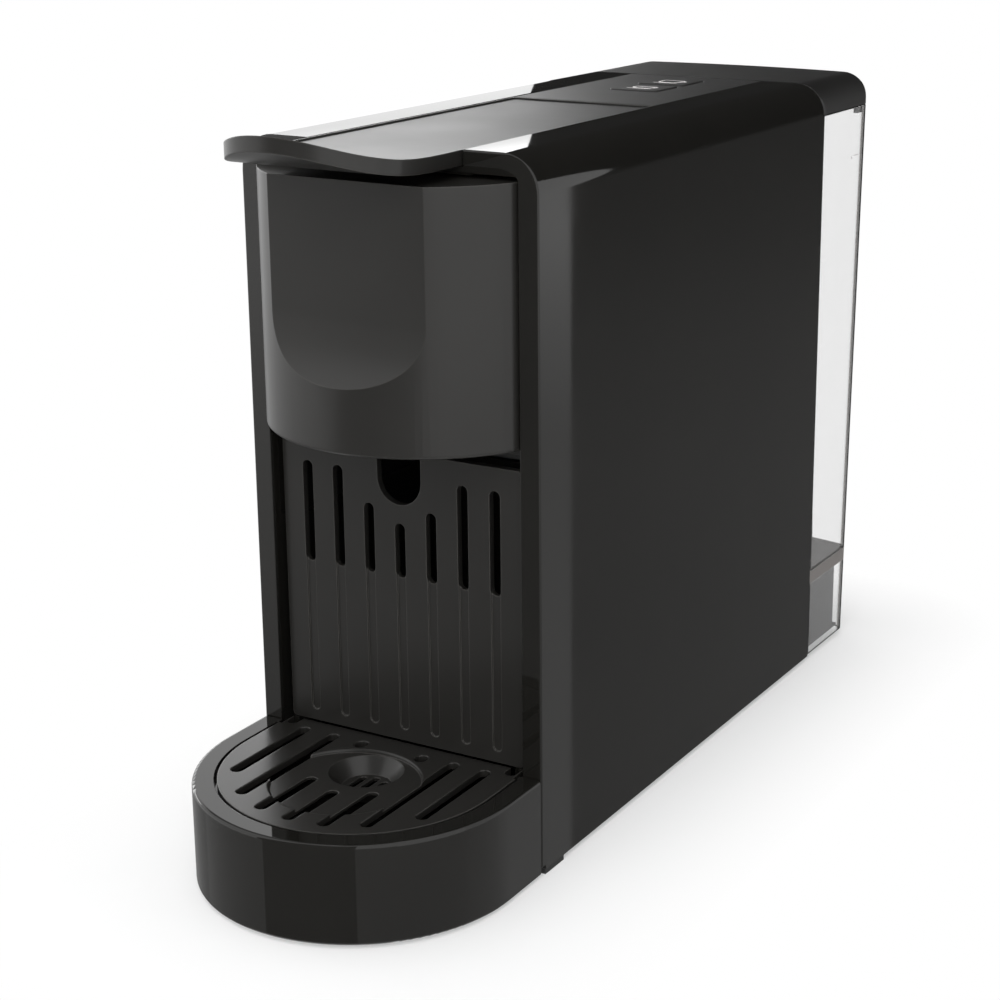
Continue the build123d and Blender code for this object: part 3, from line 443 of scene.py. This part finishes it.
# Grows a tree on the given points and lines, and puts the result on a body. Edge rounds its sharp edges.
def grown(name, tree, points, lines, body, sizes, edge=0.0, replaced=()):
    mesh = bpy.data.meshes.new(name)
    mesh.from_pydata(points, lines, [])
    piece = bpy.data.objects.new(name, mesh)
    growth = piece.modifiers.new("growth", "NODES")
    growth.node_group = tree
    for item in tree.interface.items_tree:
        if item.in_out == "INPUT" and item.name in sizes:
            growth[item.identifier] = sizes[item.name]
    if edge:
        fine = piece.modifiers.new("rounding", "BEVEL")
        fine.width, fine.segments = edge, 2
        fine.limit_method, fine.angle_limit = "ANGLE", math.radians(40)
    scene.collection.objects.link(piece)
    settled(piece)
    for face in piece.data.polygons:
        face.use_smooth = True
    piece.data.set_sharp_from_angle(angle=math.radians(35))
    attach(piece, body)
    if replaced:
        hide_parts(*replaced)


def inPlaceOf(node, name, tree, inset, sizes, edge):      # one at each corner of the node's box, which it replaces
    low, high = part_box(node)
    spots = [(x, y, low[2]) for x in (low[0] + inset, high[0] - inset) for y in (low[1] + inset, high[1] - inset)]
    grown(name, tree, spots, [], bodyOf[node], sizes, edge, [node])


# Pan-head screws under the base: head with a cross recess, core and a rolled thread.
screwSizes = {"Head Radius": 0.0032, "Head Height": 0.0014, "Cross Length": 0.0036, "Cross Width": 0.0009,
              "Cross Depth": 0.001, "Core Radius": 0.00128, "Shank Length": 0.0125, "Thread Radius": 0.00026,
              "Thread Turns": 11.0, "Thread Share": 0.9, "Thread Start": 1.3}
tree, entry = growthTree("baseScrews", screwSizes)
head = drum(tree, entry["Head Radius"], entry["Head Height"], 0.0, 48)
for length, width, share in (("Cross Length", "Cross Width", 2.0), ("Cross Width", "Cross Length", 1.9)):
    depth = maths(tree, "MULTIPLY", entry["Cross Depth"], share)      # half of each bar is in the head
    size = addNode(tree, "ShaderNodeCombineXYZ", None, {"X": entry[length], "Y": entry[width], "Z": depth}).outputs[0]
    bar = addNode(tree, "GeometryNodeMeshCube", None, {"Size": size}).outputs["Mesh"]
    cut = addNode(tree, "GeometryNodeMeshBoolean", {"operation": "DIFFERENCE"}, {0: head})
    tree.links.new(bar, cut.inputs[1])
    head = cut.outputs[0]
core = drum(tree, entry["Core Radius"], entry["Shank Length"], entry["Head Height"], 24)
spiral = addNode(tree, "GeometryNodeCurveSpiral", None,
                 {"Resolution": 18, "Rotations": entry["Thread Turns"], "Start Radius": entry["Core Radius"],
                  "End Radius": entry["Core Radius"],
                  "Height": maths(tree, "MULTIPLY", entry["Shank Length"], entry["Thread Share"])}).outputs[0]
thread = lifted(tree, along(tree, spiral, circle(tree, entry["Thread Radius"], 5)),
                maths(tree, "MULTIPLY", entry["Head Height"], entry["Thread Start"]))
endTree(tree, onEachPoint(tree, entry["Geometry"], head, core, thread), finishes["steel"])
inPlaceOf("base_screws", "screws_grown", tree, screwSizes["Head Radius"], screwSizes, 0.00012)

# Rubber feet: a disc with two ring beads underneath.
footSizes = {"Radius": 0.007, "Height": 0.00213, "Lift": 0.00025, "Bead": 0.0003, "Inner Ring": 0.0022,
             "Outer Ring": 0.0045}
tree, entry = growthTree("rubberFeet", footSizes)
disc = drum(tree, entry["Radius"], entry["Height"], entry["Lift"], 64)
rings = [lifted(tree, along(tree, circle(tree, entry[ring], 64), circle(tree, entry["Bead"], 10)), entry["Bead"])
         for ring in ("Inner Ring", "Outer Ring")]
endTree(tree, onEachPoint(tree, entry["Geometry"], disc, *rings), finishes["rubber"])
inPlaceOf("feet", "feet_grown", tree, footSizes["Radius"], footSizes, 0.0005)

# Thin printed or moulded lines that follow a path: a cup on each key, the level line on the tank.
lineSizes = {"Width": 0.0009, "Height": 0.00006}
lineTree, entry = growthTree("thinLines", lineSizes)
path = addNode(lineTree, "GeometryNodeMeshToCurve", None, {0: entry["Geometry"]}).outputs[0]
profile = addNode(lineTree, "GeometryNodeCurvePrimitiveQuadrilateral", {"mode": "RECTANGLE"},
                  {"Width": entry["Width"], "Height": entry["Height"]}).outputs[0]
palePrint = finish("palePrint", {**plasticLook, "colour": (0.75, 0.72, 0.72), "rough": 0.4, "wornAndLitTint": 1.1})
endTree(lineTree, along(lineTree, path, profile), palePrint)


def arc(centre, radius, start, stop, steps=14):
    turns = [math.radians(start + (stop - start) * k / steps) for k in range(steps + 1)]
    return [(centre[0] + radius * math.cos(a), centre[1] + radius * math.sin(a)) for a in turns]


# A cup seen from the side, drawn in the key's own plane; depth is the cup's height.
def cupPaths(width, depth):
    half, corner = width / 2, width * 0.36
    bowl = [(-half, depth)] + arc((corner - half, corner), corner, 180, 270) \
        + arc((half - corner, corner), corner, 270, 360) + [(half, depth), (-half, depth)]
    handle = arc((half, depth * 0.58), depth * 0.27, 78, -78)
    saucer = [(-half * 1.25, -width * 0.16), (half * 1.25, -width * 0.16)]
    return [bowl, handle, saucer]


def drawn(name, body, paths, place, sizes):
    points, lines = [], []
    for path in paths:
        first = len(points)
        points += [place(x, y) for x, y in path]
        lines += [(k, k + 1) for k in range(first, len(points) - 1)]
    grown(name, lineTree, points, lines, body, sizes)


cupSizes = {"key_short": (0.0080, 0.0050), "key_long": (0.0080, 0.0072)}      # width and height
for key, (width, depth) in cupSizes.items():
    low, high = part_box(key)
    middle = ((low[0] + high[0]) / 2, (low[1] + high[1]) / 2 - depth / 2)
    top = high[2] - shown[key]["sunk"] + lineSizes["Height"] * 0.4
    drawn(key + "_cup", bodyOf[key], cupPaths(width, depth), lambda x, y: (middle[0] + x, middle[1] + y, top),
          lineSizes)

# The fill level: a dot and a short line moulded in the tank's side, on the outer face. Paths are (y, z).
levelMarks = {"line": ([(0.1518, 0.204), (0.1578, 0.204)], {"Width": 0.00006, "Height": 0.0003}),
              "dot": ([(0.1492, 0.2034), (0.1502, 0.2034)], {"Width": 0.00006, "Height": 0.0009})}
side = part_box("water_tank")[1][0] + 0.00002
for mark, (path, sizes) in levelMarks.items():
    drawn("level_" + mark, bodyOf["water_tank"], [path], lambda y, z: (side, y, z), sizes)
print("stage: grown pieces made")


# Floor, light and camera.

floorLook = {"radius": 6.0, "sides": 48, "colour": (0.88, 0.88, 0.88), "shades": (0.995, 1.005), "rough": 0.9,
             "grain": 40.0, "glowNear": 0.35, "fadeFrom": 0.0, "fadeTo": 0.06}
worldDiffuse = 0.65      # the world's light on things; what is seen of it stays at 1


def onStage(name, points, faces, material):
    mesh = bpy.data.meshes.new(name)
    mesh.from_pydata(points, [], faces)
    mesh.materials.append(material)
    sheet = inScene(name, mesh)
    return sheet


def shownRays(tree):      # 1 for what the camera, gloss and clear plastic see, else 0
    path = addNode(tree, "ShaderNodeLightPath").outputs
    seen = maths(tree, "MAXIMUM", path["Is Camera Ray"], path["Is Glossy Ray"])
    return maths(tree, "MAXIMUM", seen, path["Is Transmission Ray"])


def floorMaterial(look):      # pale, and fading to white away from the machine's footprint
    material, tree, here = newMaterial("paleFloor")
    shader = addNode(tree, "ShaderNodeBsdfPrincipled", None, {"Roughness": look["rough"], "Specular IOR Level": 0.0})
    shades = [tint(look["colour"], shade) for shade in look["shades"]]
    grain = spread(tree, noise(tree, here, look["grain"], 3.0), 0.0, 1.0)
    feed(tree, shader, {"Base Color": blendColour(tree, grain, *shades)})
    glow = addNode(tree, "ShaderNodeEmission", None, {"Color": (1, 1, 1, 1), "Strength": 1.0})
    low, high = cadBounds
    half = ((high[0] - low[0]) / 2, (high[1] - low[1]) / 2, 1.0)
    middle = ((high[0] + low[0]) / 2, (high[1] + low[1]) / 2, 0.0)
    away = here
    for operation, other in (("SUBTRACT", middle), ("ABSOLUTE", None), ("SUBTRACT", half), ("MAXIMUM", (0, 0, 0))):
        inputs = {0: away} if other is None else {0: away, 1: other}
        away = addNode(tree, "ShaderNodeVectorMath", {"operation": operation}, inputs).outputs[0]
    away = addNode(tree, "ShaderNodeVectorMath", {"operation": "LENGTH"}, {0: away}).outputs["Value"]
    far = spread(tree, away, look["glowNear"], 1.0, look["fadeFrom"], look["fadeTo"])
    mix = addNode(tree, "ShaderNodeMixShader", None,
                  {0: maths(tree, "MULTIPLY", far, shownRays(tree)), 1: shader.outputs[0], 2: glow.outputs[0]})
    showSurface(tree, mix.outputs[0])
    return material


rim = [2 * math.pi * k / floorLook["sides"] for k in range(floorLook["sides"])]
ring = [(floorLook["radius"] * math.cos(a), floorLook["radius"] * math.sin(a), 0.0) for a in rim]
floor = onStage("floor", ring, [tuple(range(len(ring)))], floorMaterial(floorLook))
floor.visible_glossy = False

world = bpy.data.worlds.new("studioWorld")
scene.world = world
world.use_nodes = True
tree = world.node_tree
tree.nodes.clear()
strength = spread(tree, shownRays(tree), worldDiffuse, 1.0, 0.0, 1.0)
sky = addNode(tree, "ShaderNodeBackground", None, {"Color": (1, 1, 1, 1), "Strength": strength})
addNode(tree, "ShaderNodeOutputWorld", None, {"Surface": sky.outputs[0]})


# A tall card on a round wall about the machine, with its light set by height, seen by one kind of ray only.
def wallCard(name, card):
    distance, steps, (start, stop) = 14.0, card.get("steps", 16), card["from"]
    levels = [(distance * math.tan(math.radians(angle)), light) for angle, light in card["light"]]
    low, high = levels[0][0], levels[-1][0]
    most = max(light for z, light in levels)
    material, tree, here = newMaterial(name)
    height = addNode(tree, "ShaderNodeSeparateXYZ", None, {0: here}).outputs["Z"]
    ramp = addNode(tree, "ShaderNodeValToRGB", None, {0: spread(tree, height, 0.0, 1.0, low, high)})
    stops = ramp.color_ramp.elements
    while len(stops) < len(levels):
        stops.new(0.5)
    for mark, (z, light) in zip(stops, levels):
        mark.position = (z - low) / (high - low)
        mark.color = (light / most,) * 3 + (1.0,)
    glow = addNode(tree, "ShaderNodeEmission", None, {"Color": ramp.outputs[0], "Strength": most})
    showSurface(tree, glow.outputs[0])
    turns = [math.radians(start + (stop - start) * k / steps) for k in range(steps + 1)]
    points = [(distance * math.sin(a), distance * math.cos(a), z) for z in (low, high) for a in turns]
    faces = [(k, k + 1, k + steps + 2, k + steps + 1) for k in range(steps)]
    sheet = onStage(name, points, faces, material)
    for kind in ("camera", "diffuse", "glossy", "transmission", "shadow", "volume_scatter"):
        setattr(sheet, "visible_" + kind, kind == card.get("seenIn", "glossy"))


# Each card reaches between two directions, in degrees from the back and growing to the right, and its light is a
# list of (degrees above the horizon, strength).
pale = [(-50, 0.36), (-25, 0.38), (-15, 0.75), (-10, 1.1), (68, 1.1)]
cards = {
    "cardBack": {"from": (-30.5, 29.78),
                 "light": [(-50, 0.2), (-16, 0.2), (-12, 0.17), (-9, 0.12), (0, 0.02), (68, 0.02)]},
    "cardSide": {"from": (29.78, 75), "light": [(-50, 0.36), (-15, 0.42), (-12, 0.6), (-9.3, 0.86), (68, 0.9)]},
    "cardRight": {"from": (75, 152), "light": pale, "steps": 30},
    "cardFront": {"from": (152, 216), "light": [(-50, 0.17), (68, 0.17)]},
    "cardLeft": {"from": (216, 276), "light": pale},
    "softboxLeft": {"from": (276, 329.5),
                    "light": [(-50, 0.25), (-25, 0.3), (-15, 0.7), (-10, 1.0), (0, 1.5), (8.6, 1.5), (11, 4.4),
                              (17, 4.4), (20, 1.3), (28, 1.3), (34, 0.3), (68, 0.3)]},
    "cardThrough": {"from": (-75, 75), "light": [(1, 0.14), (45, 0.14)], "seenIn": "transmission"},
}
for name, card in cards.items():
    wallCard(name, card)

lamps = {"lampTop": {"place": (-0.3, -0.3, 1.6), "size": 1.6, "power": 11.0},
         "lampFront": {"place": (0.6, -1.5, 0.9), "size": 1.2, "power": 18.7}}
for name, look in lamps.items():
    light = bpy.data.lights.new(name, "AREA")
    light.shape, light.size, light.energy = "SQUARE", look["size"], look["power"]
    lamp = inScene(name, light)
    lamp.location = look["place"]
    lamp.rotation_euler = (-Vector(look["place"])).to_track_quat("-Z", "Y").to_euler()
    lamp.visible_glossy = False

view = {"place": (0.36889, -0.633515, 0.32357), "down": 15.84, "turn": 29.1, "lens": 76.08, "sensor": 36.0,
        "shift": (-0.08256, -0.0575), "nearest": 0.01}
lens = bpy.data.cameras.new("studioCamera")
lens.lens, lens.sensor_width, lens.clip_start = view["lens"], view["sensor"], view["nearest"]
lens.shift_x, lens.shift_y = view["shift"]
camera = inScene("studioCamera", lens)
camera.location = view["place"]
camera.rotation_euler = (math.radians(90 - view["down"]), 0.0, math.radians(view["turn"]))
scene.camera = camera
scene.view_settings.view_transform = "Standard"
print("stage: studio ready")
